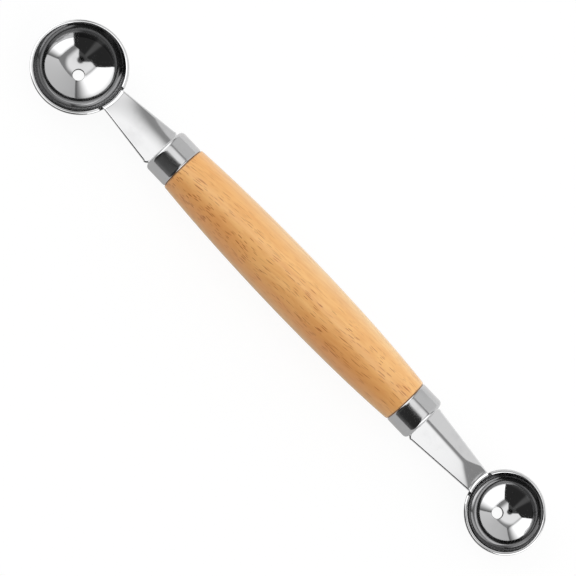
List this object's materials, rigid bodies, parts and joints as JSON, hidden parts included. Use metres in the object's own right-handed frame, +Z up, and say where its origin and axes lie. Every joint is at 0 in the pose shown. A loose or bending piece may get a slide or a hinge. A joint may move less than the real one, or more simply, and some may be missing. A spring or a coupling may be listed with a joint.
{
  "type": "melon baller",
  "caption": "Double-ended melon baller: a turned wooden barrel handle, a polished ferrule at each end and a large and a small drained scoop.",
  "frame": {"origin": "on the surface that the tool stands on, below the middle of its overall length and width", "axes": "+X along the handle from the large scoop to the small scoop, +Z up with both bowls opening upwards, +Y to the left of +X"},
  "size_m": [0.2114, 0.0296, 0.0245],
  "materials": {
    "beech": "oiled, satin",
    "ferrule_steel": "polished stainless steel",
    "scoop_steel": "mirror-polished stainless steel",
    "glue": "cured epoxy, hidden in the handle"
  },
  "bodies": {
    "root": {"wooden_handle": "beech", "large_ferrule": "ferrule_steel", "small_ferrule": "ferrule_steel", "large_scoop": "scoop_steel", "small_scoop": "scoop_steel", "large_tang_glue": "glue", "small_tang_glue": "glue"}
  },
  "joints": []
}
